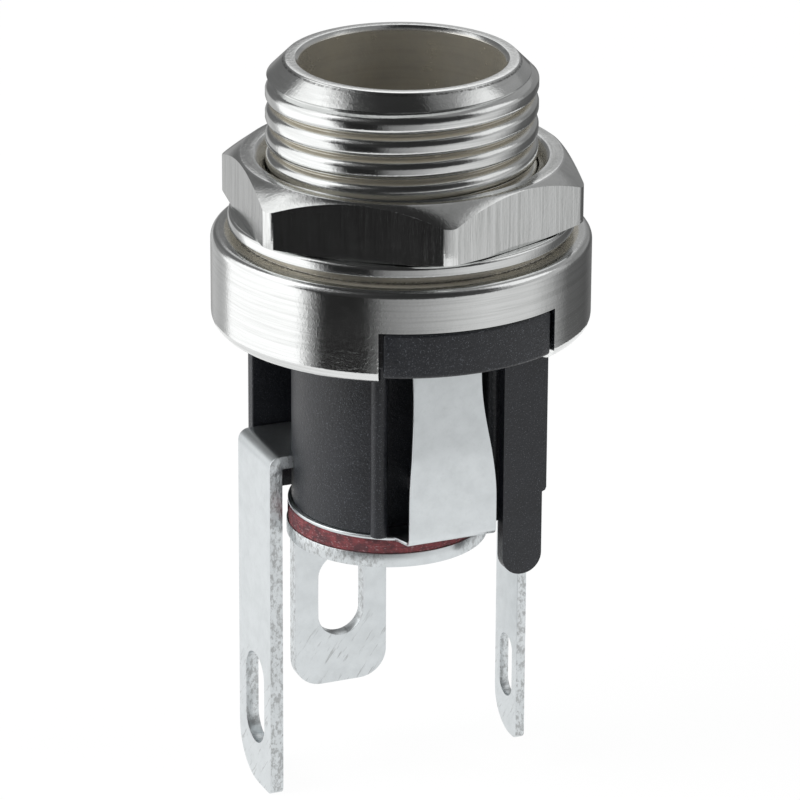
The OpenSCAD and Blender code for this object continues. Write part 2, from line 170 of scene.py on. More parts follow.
class Shader:
    """A procedural material, built with one node-making method."""

    def __init__(self, name: str) -> None:
        """Starts a material with nothing but its output.

        Args:
            name: the material's name.
        """
        self.material = bpy.data.materials.new(name)
        self.material.use_nodes = True
        self.tree = self.material.node_tree
        self.tree.nodes.clear()
        self.output = self.tree.nodes.new("ShaderNodeOutputMaterial")

    def add(
        self,
        kind: str,
        settings: dict[str, object] | None = None,
        sockets: dict[int | str, object] | None = None,
        output: int | str = 0,
    ) -> Socket:
        """Adds a node.

        Args:
            kind: the node's type.
            settings: the node's own properties; "stops" holds a ramp's (place, colour) pairs.
            sockets: values or links for its inputs, by name or index.
            output: the output that is handed back.

        Returns:
            The chosen output.
        """
        node = self.tree.nodes.new(kind)
        for name, value in (settings or {}).items():
            if name == "stops":
                self._stops(node, value)
            else:
                setattr(node, name, value)
        for name, value in (sockets or {}).items():
            link = value.link if isinstance(value, Socket) else value
            if isinstance(link, bpy.types.NodeSocket):
                self.tree.links.new(link, node.inputs[name])
            else:
                node.inputs[name].default_value = link
        return Socket(self, node.outputs[output])

    @staticmethod
    def _stops(node: bpy.types.Node, stops: Sequence[tuple[float, Colour]]) -> None:
        """Writes a colour ramp's stops."""
        elements = node.color_ramp.elements
        while len(elements) < len(stops):
            elements.new(1.0)
        for element, (place, colour) in zip(elements, stops):
            element.position = place
            element.color = (*colour, 1.0)

    def place(self, scale: Point3 = (1.0, 1.0, 1.0), location: Point3 = (0.0, 0.0, 0.0)) -> Socket:
        """Object coordinates in millimetres, stretched and moved.

        Args:
            scale: factors along the piece's axes.
            location: shift after the scale.

        Returns:
            The coordinates as a vector.
        """
        where = self.add("ShaderNodeTexCoord", output="Object")
        scale_mm = tuple(s / MM for s in scale)
        return self.add("ShaderNodeMapping", {}, {"Vector": where, "Location": location, "Scale": scale_mm})

    def axis(self, name: str) -> Socket:
        """The X, Y or Z place on the piece, in millimetres."""
        return self.add("ShaderNodeSeparateXYZ", {}, {0: self.place()}, output=name)

    def vector(self, x: Socket | float, y: Socket | float, z: Socket | float) -> Socket:
        """Joins three values into a vector."""
        return self.add("ShaderNodeCombineXYZ", {}, {0: x, 1: y, 2: z})

    def noise(self, where: Socket, scale: float, detail: float = 2.0, rough: float = 0.5) -> Socket:
        """Noise from 0 to 1 at a place."""
        sockets = {"Vector": where, "Scale": scale, "Detail": detail, "Roughness": rough}
        return self.add("ShaderNodeTexNoise", {}, sockets, output=0)

    def mix(self, share: Socket | float, low: object, high: object, blend: str = "MIX") -> Socket:
        """Mixes two colours.

        Args:
            share: 0 for the first, 1 for the second.
            low: the first colour.
            high: the second colour.
            blend: the blend type.

        Returns:
            The mixed colour.
        """
        def full(value: object) -> object:
            """Gives a plain colour its alpha."""
            return value if isinstance(value, Socket) else (*value, 1.0)

        settings = {"data_type": "RGBA", "blend_type": blend}
        return self.add("ShaderNodeMix", settings, {0: share, 6: full(low), 7: full(high)}, output=2)

    def bump(self, height: Socket, distance_mm: float, under: Socket | None = None) -> Socket:
        """A bumped normal.

        Args:
            height: the height from 0 to 1.
            distance_mm: how high 1 is.
            under: a normal that this one is added to.

        Returns:
            The normal.
        """
        sockets = {"Height": height, "Distance": distance_mm * MM, "Strength": 1.0}
        if under is not None:
            sockets["Normal"] = under
        return self.add("ShaderNodeBump", {}, sockets)

    def surface(self, **sockets: object) -> bpy.types.Material:
        """Finishes the material with a Principled surface.

        Args:
            sockets: the surface's inputs, with _ for a space in their names.

        Returns:
            The material.
        """
        named = {name.replace("_", " "): value for name, value in sockets.items()}
        base = named.get("Base Color")
        if isinstance(base, tuple):
            named["Base Color"] = (*base, 1.0)
        bsdf = self.add("ShaderNodeBsdfPrincipled", {}, named)
        self.tree.links.new(bsdf.link, self.output.inputs["Surface"])
        return self.material


# -------------------------------------------------------------------- finishes


class Lay(Enum):
    """Which way a tool's marks run on a turned or milled surface."""

    AROUND = "around"
    UPRIGHT = "upright"


@dataclass(frozen=True)
class Ring:
    """A narrow band round the axis, at a radius and a height in millimetres."""

    radius: float
    height: float
    width: float = 0.07

    def mask(self, radius: Socket, height: Socket) -> Socket:
        """Is 1 on the band and 0 away from it."""
        off_r, off_z = radius - self.radius, height - self.height
        return (off_r * off_r + off_z * off_z).function("SQRT").below(self.width, self.width * 0.6)


@dataclass(frozen=True)
class Hollow:
    """A region between two radii and two heights, in millimetres, where plating stays dull and painted shade
    darkens it.
    """

    radii: Point2
    heights: Point2

    def mask(self, radius: Socket, height: Socket) -> Socket:
        """Is 1 in the region and 0 outside it."""
        return radius.inside(*self.radii, 0.06) * height.inside(*self.heights, 0.12)


@dataclass(frozen=True)
class TurnedNickel:
    """Bright nickel on machined brass: tool marks, fine pits, painted highlights on edges, dull hollows with
    painted shade, speckled grime with painted shade.
    """

    name: str
    lay: Lay = Lay.AROUND
    colour: Colour = (0.735, 0.745, 0.74)
    shade: Colour = (0.50, 0.51, 0.50)
    stain_and_shade: Colour = (0.44, 0.40, 0.31)
    rough: float = 0.07
    mark_mm: float = 0.17
    mark_height_mm: float = 0.0013
    pit_mm: float = 0.15
    pit_height_mm: float = 0.0012
    mean_radius_mm: float = 7.6
    streaks: float = 0.55
    # Bands that get painted highlights on rounded edges.
    painted_highlights: tuple[Ring, ...] = ()
    # Bands of speckled grime and painted shade.
    grime_and_shade_bands: tuple[Ring, ...] = ()
    # Hollows with dull plating and painted shade.
    hollows: tuple[Hollow, ...] = ()

    def make(self) -> bpy.types.Material:
        """Builds the material."""
        shader = Shader(self.name)
        x, y, z = (shader.axis(name) for name in "XYZ")
        radius = (x * x + y * y).function("SQRT")
        if self.lay is Lay.AROUND:
            along = shader.vector(x * 0.12, y * 0.12, (z + radius * 0.7) / self.mark_mm)
        else:
            turn = shader.add("ShaderNodeMath", {"operation": "ARCTAN2"}, {0: y, 1: x})
            along = shader.vector(turn * (self.mean_radius_mm / self.mark_mm), z * 0.22, radius * 0.4)
            round_it = shader.vector(x * 0.3, y * 0.3, (z + radius * 0.7) / self.mark_mm)
            faces = shader.add("ShaderNodeTexCoord", output="Normal")
            up = shader.add("ShaderNodeSeparateXYZ", {}, {0: faces}, output="Z").function("ABSOLUTE")
            along = shader.add("ShaderNodeMix", {"data_type": "VECTOR"},
                               {0: up.above(0.4, 0.05), 4: along, 5: round_it}, output=1)
        marks = shader.noise(along, 1.0, 4.0, 0.7)
        pits = shader.noise(shader.place(), 1.0 / self.pit_mm, 2.0, 0.6)
        clouds = shader.noise(shader.place(), 0.75, 4.0, 0.6)
        # Painted shade: the hollows darken towards a brownish stain, with duller, less metallic plating.
        dull_and_shade = self.gather(self.hollows, radius, z) * (0.45 + 0.55 * clouds)
        # Painted highlights: patchy bright bands on the listed rounded edges.
        painted_highlights = self.gather(self.painted_highlights, radius, z) * clouds.above(0.42, 0.2)
        # Speckled grime and painted shade: dark specks in the seat corner under the washer and on the chamfer
        # just below the rim.
        grime_and_shade_mask = self.gather(self.grime_and_shade_bands, radius, z) * pits.above(0.45, 0.15)
        colour = shader.mix(marks.above(0.56, 0.16) * self.streaks, self.colour, self.shade)
        colour = shader.mix(dull_and_shade, colour, self.stain_and_shade)
        colour = shader.mix(painted_highlights, colour, (0.86, 0.87, 0.87))
        colour = shader.mix(grime_and_shade_mask * 0.85, colour, (0.10, 0.10, 0.10))
        rough = self.rough + 0.05 * marks + 0.07 * clouds + 0.16 * dull_and_shade + 0.1 * grime_and_shade_mask
        normal = shader.bump(marks, self.mark_height_mm)
        normal = shader.bump(pits.above(0.56, 0.1), self.pit_height_mm, under=normal)
        return shader.surface(Base_Color=colour, Metallic=1.0 - 0.45 * dull_and_shade, Roughness=rough, Normal=normal)

    @staticmethod
    def gather(regions: Sequence[Ring | Hollow], radius: Socket, height: Socket) -> Socket:
        """Adds up the masks of several bands or regions."""
        total = radius * 0.0
        for region in regions:
            total = total + region.mask(radius, height)
        return total.function_pair("MINIMUM", 1.0)


@dataclass(frozen=True)
class StampedTin:
    """Bright tin on stamped sheet: cloudy faces, torn cut edges, fine scratches."""

    name: str
    face: str = "X"
    colour: Colour = (0.70, 0.735, 0.75)
    cloud: Colour = (0.56, 0.59, 0.60)
    torn: Colour = (0.36, 0.37, 0.37)
    rough: float = 0.24
    tear_mm: float = 0.16
    tear_height_mm: float = 0.02
    scratch_from_z: float = -21.0
    cut_from_y: float = -4.0

    def make(self) -> bpy.types.Material:
        """Builds the material."""
        shader = Shader(self.name)
        place = shader.place()
        z = shader.axis("Z")
        normal_to = shader.add("ShaderNodeTexCoord", output="Normal")
        across = {}
        for name in "XYZ":
            part = shader.add("ShaderNodeSeparateXYZ", {}, {0: normal_to}, output=name)
            across[name] = part.function("ABSOLUTE")
        side = "Y" if self.face == "X" else "X"
        cut = across[side].above(0.8, 0.1)
        rim = across["Z"].below(0.5, 0.2) * z.above(-14.5, 0.03) * z.below(-12.6, 0.1)
        cut = cut.function_pair("MAXIMUM", rim) if self.face == "Y" else cut
        cut = cut * shader.axis("Y").above(self.cut_from_y, 0.3)
        cloud = shader.noise(place, 1.3, 5.0, 0.68)
        mottle = shader.noise(place, 5.5, 3.0, 0.6)
        tears = shader.noise(shader.place((1.0, 1.0, 0.6)), 1.0 / self.tear_mm, 3.0, 0.7)
        turn = 0.8 if self.face == "X" else -0.7
        width = shader.axis(side)
        slanted = shader.vector((width + z * turn) * 4.5, (z - width * turn) * 0.5, 0.0)
        scratches = shader.noise(slanted, 1.0, 3.0, 0.7).above(0.62, 0.05)
        scratches = scratches * z.below(self.scratch_from_z, 1.5) * (1.0 - cut)
        colour = shader.mix(cloud.above(0.55, 0.25) * 0.5, self.colour, self.cloud)
        colour = shader.mix(mottle.above(0.62, 0.08) * 0.2, colour, self.cloud)
        colour = shader.mix(scratches * 0.6, colour, self.torn)
        colour = shader.mix(cut * tears.above(0.54, 0.1) * 0.8, colour, self.torn)
        rough = self.rough + 0.14 * cloud + 0.1 * cut * tears
        normal = shader.bump(mottle, 0.0015)
        normal = shader.bump(cut * tears + scratches * 0.15, self.tear_height_mm, under=normal)
        return shader.surface(Base_Color=colour, Metallic=1.0, Roughness=rough, Normal=normal)


@dataclass(frozen=True)
class MouldedPlastic:
    """Black moulding with a fine spark-eroded grain and painted glints on its specks, rubbed smoother here
    and there.
    """

    name: str
    colour: Colour = (0.0045, 0.0060, 0.0095)
    rubbed: Colour = (0.011, 0.013, 0.018)
    rough: float = 0.36
    grain_mm: float = 0.13
    grain_height_mm: float = 0.030

    def make(self) -> bpy.types.Material:
        """Builds the material."""
        shader = Shader(self.name)
        grain = shader.noise(shader.place(), 1.0 / self.grain_mm, 3.0, 0.65)
        glint_specks = shader.noise(shader.place(), 2.6 / self.grain_mm, 1.0, 0.5)
        cloud = shader.noise(shader.place(), 0.55, 4.0, 0.6)
        colour = shader.mix(cloud.above(0.5, 0.25), self.colour, self.rubbed)
        # Painted glints: light specks on the grain, also made less rough.
        colour = shader.mix(glint_specks.above(0.66, 0.04) * 0.7, colour, (0.12, 0.13, 0.15))
        rough = self.rough + 0.16 * cloud - 0.1 * glint_specks
        normal = shader.bump(grain, self.grain_height_mm)
        return shader.surface(Base_Color=colour, Roughness=rough, Normal=normal)


@dataclass(frozen=True)
class VulcanFibre:
    """Red vulcanised fibre: layered, darkened in patches, fuzzy on its cut edge."""

    name: str
    colour: Colour = (0.26, 0.055, 0.062)
    dark: Colour = (0.075, 0.035, 0.042)
    fuzz: Colour = (0.42, 0.24, 0.25)

    def make(self) -> bpy.types.Material:
        """Builds the material."""
        shader = Shader(self.name)
        layers = shader.noise(shader.place((1.6, 1.6, 7.0)), 1.0, 4.0, 0.75)
        patches = shader.noise(shader.place(), 1.9, 3.0, 0.7)
        fuzz = shader.noise(shader.place((3.0, 3.0, 6.0)), 2.0, 2.0, 0.6)
        colour = shader.mix(patches.above(0.5, 0.12) * 0.8, self.colour, self.dark)
        colour = shader.mix(layers.above(0.56, 0.08) * 0.6, colour, self.dark)
        colour = shader.mix(fuzz.above(0.63, 0.05) * 0.7, colour, self.fuzz)
        normal = shader.bump(layers + fuzz * 0.6, 0.05)
        return shader.surface(Base_Color=colour, Roughness=0.62 + 0.3 * patches, Normal=normal)


# ----------------------------------------------------------------- workbench


class Pick(Enum):
    """What an edit-mode selection takes, as the select mode's three switches."""

    CORNERS = (True, False, False)
    EDGES = (False, True, False)
    FACES = (False, False, True)


class Bench:
    """A model maker's moves in millimetres, each an operator on what is selected."""

    @staticmethod
    def only(piece: bpy.types.Object) -> None:
        """Selects one object and makes it the active one."""
        bpy.ops.object.select_all(action="DESELECT")
        piece.select_set(True)
        bpy.context.view_layer.objects.active = piece

    @staticmethod
    def start(name: str, add: Callable[..., object], **place: object) -> bpy.types.Object:
        """Adds a primitive with nothing else selected.

        Args:
            name: the new object's name.
            add: the primitive's operator.
            place: the operator's settings, in millimetres.

        Returns:
            The new object.
        """
        bpy.ops.object.select_all(action="DESELECT")
        add(**place)
        bpy.context.object.name = name
        return bpy.context.object

    @staticmethod
    @contextmanager
    def editing(piece: bpy.types.Object) -> Iterator[None]:
        """Opens a piece in edit mode."""
        Bench.only(piece)
        bpy.ops.object.mode_set(mode="EDIT")
        try:
            yield
        finally:
            bpy.ops.object.mode_set(mode="OBJECT")

    @staticmethod
    def pick(piece: bpy.types.Object, kind: Pick, test: Callable[[Vector, Vector], bool]) -> int:
        """Selects, in edit mode, what a test accepts.

        Args:
            piece: the piece in edit mode.
            kind: corners, edges or faces.
            test: gets a place and a direction: a face's normal, an edge's run, a corner's normal.

        Returns:
            How many were taken.
        """
        bpy.context.tool_settings.mesh_select_mode = kind.value
        bpy.ops.mesh.select_all(action="DESELECT")
        mesh = bmesh.from_edit_mesh(piece.data)
        mesh.normal_update()
        if kind is Pick.FACES:
            found = [f for f in mesh.faces if test(f.calc_center_median(), f.normal)]
        elif kind is Pick.EDGES:
            found = [e for e in mesh.edges
                     if test((e.verts[0].co + e.verts[1].co) / 2, e.verts[1].co - e.verts[0].co)]
        else:
            found = [v for v in mesh.verts if test(v.co, v.normal)]
        for element in found:
            element.select_set(True)
        mesh.select_flush_mode()
        bmesh.update_edit_mesh(piece.data)
        return len(found)

    @staticmethod
    def turned(name: str, outline: Sequence[Point2], segments: int,
               capped: bool = False) -> bpy.types.Object:
        """Turns a piece about Z, ring by ring.

        Args:
            name: the piece's name.
            outline: the section as (radius, height), once round a ring's section, or from
                bottom to top of a solid bar.
            segments: the facets round the piece.
            capped: closes both ends with a face, instead of joining the last ring to the first.

        Returns:
            The closed piece.
        """
        piece = Bench.start(name, bpy.ops.mesh.primitive_circle_add, vertices=segments,
                            radius=outline[0][0], fill_type="NGON" if capped else "NOTHING")
        rest = list(outline[1:]) + ([] if capped else [outline[0]])
        with Bench.editing(piece):
            bpy.ops.mesh.select_all(action="SELECT")
            bpy.ops.transform.translate(value=(0, 0, outline[0][1]))
            radius, height = outline[0]
            for new_radius, new_height in rest:
                bpy.ops.mesh.extrude_region_move(
                    TRANSFORM_OT_translate={"value": (0, 0, new_height - height)})
                grow = new_radius / radius
                bpy.ops.transform.resize(value=(grow, grow, 1), center_override=(0, 0, new_height))
                radius, height = new_radius, new_height
            bpy.ops.mesh.select_all(action="SELECT")
            bpy.ops.mesh.remove_doubles(threshold=1e-4)
            bpy.ops.mesh.normals_make_consistent(inside=False)
        return piece

    @staticmethod
    def block(name: str, low: Point3, high: Point3) -> bpy.types.Object:
        """Adds a block between two corners, as a start for shaping or a cutting tool."""
        middle = tuple((a + b) / 2 for a, b in zip(low, high))
        size = tuple(b - a for a, b in zip(low, high))
        piece = Bench.start(name, bpy.ops.mesh.primitive_cube_add, size=1, location=middle)
        piece.scale = size
        bpy.ops.object.transform_apply(location=True, rotation=True, scale=True)
        return piece

    @staticmethod
    def modify(piece: bpy.types.Object, kind: str, **settings: object) -> None:
        """Adds a modifier and applies it.

        Args:
            piece: the piece.
            kind: the modifier's type.
            settings: the modifier's properties.
        """
        Bench.only(piece)
        modifier = piece.modifiers.new(kind.lower(), kind)
        for name, value in settings.items():
            setattr(modifier, name, value)
        bpy.ops.object.modifier_apply(modifier=modifier.name)

    @staticmethod
    def round_edges(piece: bpy.types.Object, width: float, segments: int = 2, angle: float = 35.0) -> None:
        """Rounds every edge sharper than an angle."""
        Bench.modify(piece, "BEVEL", width=width, segments=segments, limit_method="ANGLE",
                     angle_limit=math.radians(angle), harden_normals=False,
                     use_clamp_overlap=True, miter_outer="MITER_ARC")

    @staticmethod
    def cut(piece: bpy.types.Object, tool: bpy.types.Object, operation: str = "DIFFERENCE") -> None:
        """Cuts, joins or trims a piece with a tool, which is used up."""
        Bench.modify(piece, "BOOLEAN", object=tool, operation=operation, solver="EXACT")
        bpy.data.objects.remove(tool)

    @staticmethod
    def join(pieces: Sequence[bpy.types.Object]) -> bpy.types.Object:
        """Makes several closed shapes one object, named as the first."""
        Bench.only(pieces[0])
        for piece in pieces[1:]:
            piece.select_set(True)
        bpy.ops.object.join()
        return pieces[0]

    @staticmethod
    def wedge(name: str, radii: Point2, heights: Point2, angle: float, steps: int = 24) -> bpy.types.Object:
        """Spins a block round Z, centred on -Y.

        Args:
            name: the block's name.
            radii: its inner and outer radius.
            heights: its lower and upper height.
            angle: how far it goes round, in degrees.
            steps: its facets.

        Returns:
            The closed block.
        """
        piece = Bench.start(name, bpy.ops.mesh.primitive_plane_add, size=1,
                            rotation=(math.pi / 2, 0, 0),
                            location=(sum(radii) / 2, 0, sum(heights) / 2))
        piece.scale = (radii[1] - radii[0], heights[1] - heights[0], 1)
        bpy.ops.object.transform_apply(location=True, rotation=True, scale=True)
        with Bench.editing(piece):
            bpy.ops.mesh.select_all(action="SELECT")
            bpy.ops.mesh.spin(steps=steps, angle=math.radians(angle), center=(0, 0, 0), axis=(0, 0, 1))
            bpy.ops.mesh.select_all(action="SELECT")
            bpy.ops.mesh.remove_doubles(threshold=1e-4)
            bpy.ops.mesh.normals_make_consistent(inside=False)
            mesh = bmesh.from_edit_mesh(piece.data)
            middle = sum((v.co for v in mesh.verts), Vector()) / len(mesh.verts)
        piece.rotation_euler.z = -math.pi / 2 - math.atan2(middle.y, middle.x)
        Bench.only(piece)
        bpy.ops.object.transform_apply(location=True, rotation=True, scale=True)
        return piece

    @staticmethod
    def finish(piece: bpy.types.Object, body: Body, nodes: Sequence[str], slot: Slot,
               material: bpy.types.Material, smooth: float = 30.0) -> bpy.types.Object:
        """Takes a piece from millimetres to its place in the frame and dresses it.

        Args:
            piece: the piece.
            body: the body that it rides on.
            nodes: the CAD nodes that it stands for.
            slot: the record's material slot; not used.
            material: its finish.
            smooth: faces that meet at less than this angle are shaded smooth.

        Returns:
            The piece.
        """
        Bench.only(piece)
        piece.scale = (MM, MM, MM)
        bpy.ops.object.transform_apply(location=True, rotation=True, scale=True)
        bpy.ops.object.shade_smooth_by_angle(angle=math.radians(smooth))
        Bench.modify(piece, "WEIGHTED_NORMAL", keep_sharp=True, weight=100)
        piece.data.materials.clear()
        piece.data.materials.append(material)
        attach(piece, body.value)
        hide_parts(*nodes)
        LOG.info("%s: %d faces", piece.name, len(piece.data.polygons))
        return piece


# -------------------------------------------------------------------- pieces


def softened(corners: Sequence[tuple[float, ...]], steps: int = 4, closed: bool = True) -> list[Point2]:
    """Rounds the corners of a section.

    Args:
        corners: (radius, height) or (radius, height, rounding) of each corner.
        steps: facets in each rounding.
        closed: whether the section comes back to its first corner.

    Returns:
        The section's points.
    """
    points: list[Point2] = []
    count = len(corners)
    for index, (x, z, *rounding) in enumerate(corners):
        ends = not closed and index in (0, count - 1)
        if not rounding or ends:
            points.append((x, z))
            continue
        here = Vector((x, z))
        back = (Vector(corners[index - 1][:2]) - here).normalized()
        ahead = (Vector(corners[(index + 1) % count][:2]) - here).normalized()
        half = back.angle(ahead) / 2
        run = rounding[0] / math.tan(half)
        middle = here + (back + ahead).normalized() * (rounding[0] / math.sin(half))
        start, end = here + back * run - middle, here + ahead * run - middle
        for step in range(steps + 1):
            along = start.slerp(end, step / steps).normalized() * rounding[0]
            points.append(tuple(middle + along))
    return points


@dataclass
class Bush:
    """The turned housing: threaded bush, seat, flange and notched skirt."""

    bore_r: float = 4.45
    rim_z: float = 7.4
    rim_r: float = 5.05
    thread_r: float = 5.9
    thread_depth: float = 0.35
    pitch: float = 1.0
    crest_z: float = 4.45
    relief_r: float = 5.4
    seat_r: float = 7.15
    seat_h: float = 0.36
    flange_r: float = 8.298
    skirt_z: float = -4.56
    notch_angle: float = 59.0
    notch_z: float = -2.21

    def rod(self) -> bpy.types.Object:
        """Screws one tooth's section round the axis and trims both ends flat.

        Returns:
            The closed threaded rod.
        """
        fall = [(0.0, 0.0), (0.0, 0.13), (0.02, 0.2), (0.065, 0.28), (0.15, 0.36), (0.28, 0.425),
                (0.335, 0.46), (self.thread_depth, 0.5)]
        rise = [(depth, 1.0 - along) for depth, along in reversed(fall[:-1])]
        tooth = [(self.thread_r - depth, along) for depth, along in fall + rise]
        low = self.crest_z - 7 * self.pitch
        piece = Bench.start("thread_rod", bpy.ops.mesh.primitive_plane_add, size=1)
        with Bench.editing(piece):
            bpy.ops.mesh.select_all(action="SELECT")
            bpy.ops.mesh.merge(type="CENTER")
            bpy.ops.transform.translate(value=(tooth[0][0], 0, low))
            for (r_from, z_from), (r_to, z_to) in zip(tooth, tooth[1:]):
                bpy.ops.mesh.extrude_vertices_move(
                    TRANSFORM_OT_translate={"value": (r_to - r_from, 0, (z_to - z_from) * self.pitch)})
        Bench.modify(piece, "SCREW", axis="Z", screw_offset=self.pitch, iterations=12,
                     steps=144, render_steps=144)
        with Bench.editing(piece):
            bpy.ops.mesh.select_all(action="SELECT")
            bpy.ops.mesh.remove_doubles(threshold=1e-3)
            bpy.ops.mesh.normals_make_consistent(inside=False)
            for height, above in ((0.2, False), (self.rim_z + 0.3, True)):
                bpy.ops.mesh.select_all(action="SELECT")
                bpy.ops.mesh.bisect(plane_co=(0, 0, height), plane_no=(0, 0, 1), use_fill=True,
                                    clear_outer=above, clear_inner=not above)
            bpy.ops.mesh.select_all(action="SELECT")
            bpy.ops.mesh.normals_make_consistent(inside=False)
        return piece

    def make(self, material: bpy.types.Material) -> None:
        """Builds and places the housing."""
        over = 0.06
        neck = softened([
            (self.bore_r, 0.0), (self.relief_r, 0.0), (self.relief_r, 0.4),
            (self.thread_r + over, 0.96 - over + 0.06), (self.thread_r + over, self.rim_z - 0.85 - over),
            (self.rim_r, self.rim_z, 0.07), (self.bore_r + 0.17, self.rim_z, 0.05),
            (self.bore_r, self.rim_z - 0.17, 0.05)])
        bush = Bench.turned("bush", neck, 144)
        Bench.cut(bush, self.rod(), "INTERSECT")
        body = Bench.turned("housing", softened([
            (self.bore_r, -1.21), (self.bore_r, -0.001), (self.seat_r, 0.0, 0.07),
            (self.seat_r, -self.seat_h, 0.05), (self.flange_r, -self.seat_h, 0.36),
            (self.flange_r, self.skirt_z, 0.55), (self.flange_r - 0.85, self.skirt_z, 0.08),
            (self.flange_r - 0.85, self.skirt_z + 0.5), (self.flange_r - 0.65, self.skirt_z + 0.5),
            (self.flange_r - 0.65, -1.21)], 7), 192)
        notch = Bench.wedge("notch", (self.flange_r - 1.6, self.flange_r + 1),
                            (self.skirt_z - 1, self.notch_z), self.notch_angle)
        Bench.cut(body, notch)
        piece = Bench.join([body, bush])
        Bench.finish(piece, Body.JACK, ["housing"], Slot.NICKEL, material, 25.0)


@dataclass
class Nut:
    """The hex nut: turned chamfers, countersunk bore, rounded corners."""

    flat_r: float = 7.1
    base_z: float = 0.5
    height: float = 2.6
    chamfer_r: float = 7.0
    chamfer_h: float = 0.9
    foot_h: float = 0.2
    corner_round: float = 0.4
    bore_r: float = 5.95
    sink: float = 0.45
    turn: float = 22.0

    def make(self, material: bpy.types.Material) -> None:
        """Builds and places the nut."""
        corner_r = self.flat_r / math.cos(math.pi / 6)
        top = self.base_z + self.height
        nut = Bench.start("hex_nut", bpy.ops.mesh.primitive_cylinder_add, vertices=6, radius=corner_r,
                          depth=self.height, location=(0, 0, self.base_z + self.height / 2))
        bpy.ops.object.transform_apply(location=True, rotation=True, scale=True)
        with Bench.editing(nut):
            Bench.pick(nut, Pick.EDGES, lambda place, run: abs(run.z) > 1)
            bpy.ops.mesh.bevel(offset=self.corner_round, segments=6, affect="EDGES")
        nut.rotation_euler.z = math.radians(self.turn - 90.0)
        Bench.only(nut)
        bpy.ops.object.transform_apply(location=True, rotation=True, scale=True)
        out = corner_r + 0.5
        steep = (out - self.chamfer_r) / (corner_r - self.chamfer_r)
        form = Bench.turned("nut_form", [
            (self.bore_r, self.base_z + self.sink), (self.bore_r + self.sink, self.base_z),
            (self.chamfer_r, self.base_z), (out, self.base_z + self.foot_h * steep),
            (out, top - self.chamfer_h * steep),
            (self.chamfer_r, top), (self.bore_r + self.sink, top), (self.bore_r, top - self.sink)], 192)
        Bench.cut(nut, form, "INTERSECT")
        Bench.round_edges(nut, 0.045, 2, 25.0)
        Bench.finish(nut, Body.NUT, ["hex_nut"], Slot.NICKEL, material, 22.0)


@dataclass
class Washer:
    """The flat washer, rounded by stamping on its upper edges."""

    bore_r: float = 6.05
    rim_r: float = 7.55
    thickness: float = 0.5

    def make(self, material: bpy.types.Material) -> None:
        """Builds and places the washer."""
        piece = Bench.turned("flat_washer", softened([
            (self.bore_r, 0.0, 0.04), (self.rim_r, 0.0, 0.06),
            (self.rim_r, self.thickness, 0.16), (self.bore_r, self.thickness, 0.1)], 5), 176)
        Bench.finish(piece, Body.WASHER, ["flat_washer"], Slot.NICKEL, material, 40.0)


